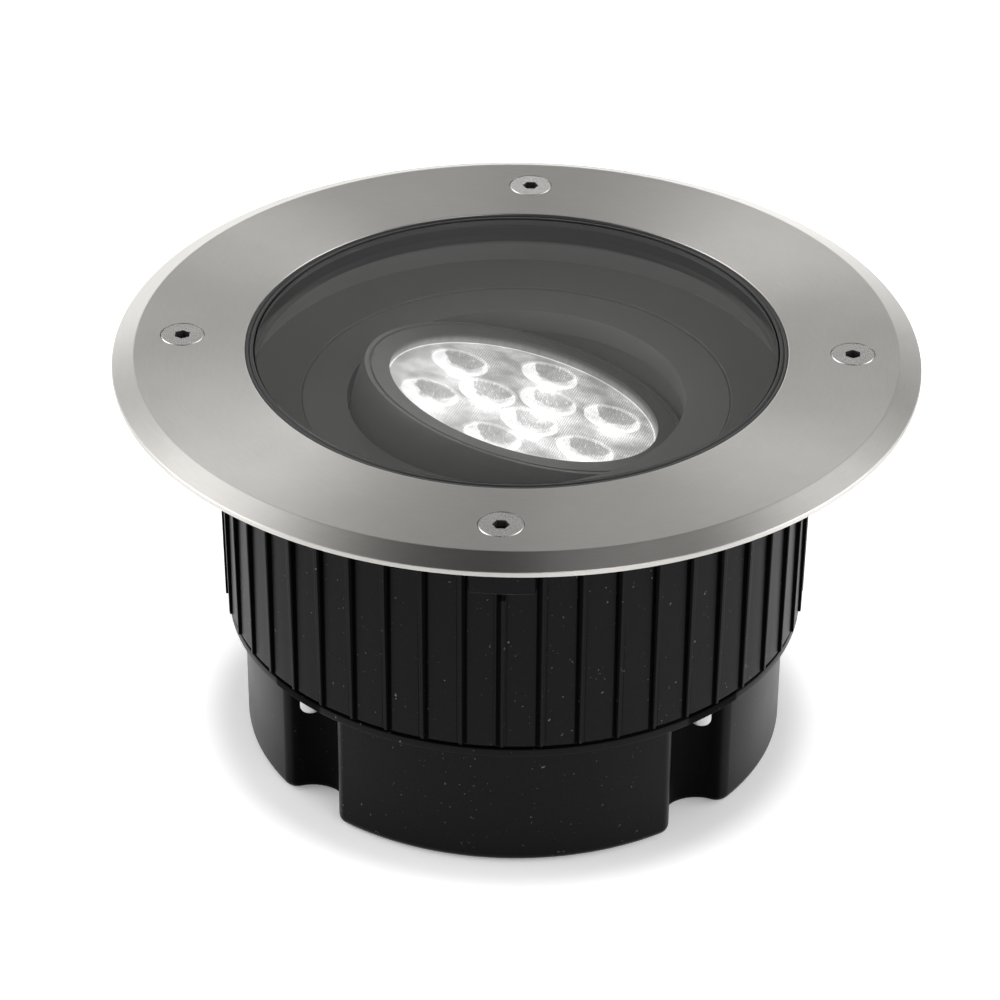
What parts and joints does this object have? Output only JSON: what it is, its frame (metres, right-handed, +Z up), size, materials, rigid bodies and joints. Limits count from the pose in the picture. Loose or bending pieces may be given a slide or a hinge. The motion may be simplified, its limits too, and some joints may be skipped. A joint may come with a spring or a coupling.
{
  "type": "in ground well light",
  "caption": "Recessed ground light: round glass window under a flush steel ring, ribbed sleeve, lobed base with supply, and a lamp that turns and tilts inside.",
  "frame": {"origin": "centre of the flat underside of the base, on the vertical axis of the trim ring", "axes": "+Z up, out of the ground; +Y towards the cable gland; +X to the right of the front screw, seen from above"},
  "size_m": [0.22, 0.22, 0.119],
  "materials": {
    "trim_steel": "satin, circular brushed",
    "screw_steel": "satin",
    "gasket_rubber": "smooth black",
    "window_glass": "polished, clear",
    "black_casing": "fine-textured black",
    "dark_bezel": "satin black",
    "dark_shell": "satin dark grey",
    "lens_clear": "clear moulded optics",
    "brass_insert": "turned brass",
    "slide_plastic": "natural low-friction plastic",
    "chip_yellow": "phosphor under a clear dome",
    "board_white": "white solder mask",
    "sink_aluminium": "die-cast, blasted",
    "lead_jacket": "matt black jacket",
    "connector_white": "white nylon",
    "driver_case": "light grey moulded case",
    "block_ivory": "ivory nylon",
    "lead_insulation": "smooth wire insulation",
    "gland_plastic": "black nylon"
  },
  "bodies": {
    "body": {"trim_ring": "trim_steel", "trim_screws": "screw_steel", "glass_gasket": "gasket_rubber", "glass": "window_glass", "housing": "black_casing", "bezel": "dark_bezel", "base_housing": "black_casing", "flange_gasket": "gasket_rubber", "flange_screws": "screw_steel", "screw_inserts": "brass_insert", "glide_ring": "slide_plastic", "floor_grommet": "gasket_rubber", "driver_lead": "lead_jacket", "lead_connector": "connector_white", "driver": "driver_case", "driver_screws": "screw_steel", "terminal_block": "block_ivory", "terminal_screws": "brass_insert", "block_screws": "screw_steel", "mains_leads": "lead_insulation", "gland_body": "gland_plastic", "gland_cap": "gland_plastic", "gland_seal": "gasket_rubber", "gland_washer": "gasket_rubber", "gland_lock_nut": "gland_plastic"},
    "turntable": {"turntable": "dark_bezel", "tilt_pins": "screw_steel", "tilt_washers": "slide_plastic"},
    "lamp": {"module_shell": "dark_shell", "lens_plate": "lens_clear", "led_board": "board_white", "led_chips": "chip_yellow", "board_screws": "screw_steel", "heat_sink": "sink_aluminium", "sink_screws": "screw_steel"}
  },
  "joints": [
    {"name": "lamp_azimuth", "type": "hinge", "parent": "body", "child": "turntable", "pos_m": [0, 0, 0.0878], "axis": [0, 0, 1], "range_deg": [-175, 175]},
    {"name": "lamp_tilt", "type": "hinge", "parent": "turntable", "child": "lamp", "pos_m": [0, 0, 0.0878], "axis": [-0.4848, 0.8746, 0], "range_deg": [-31.2, 0]}
  ]
}
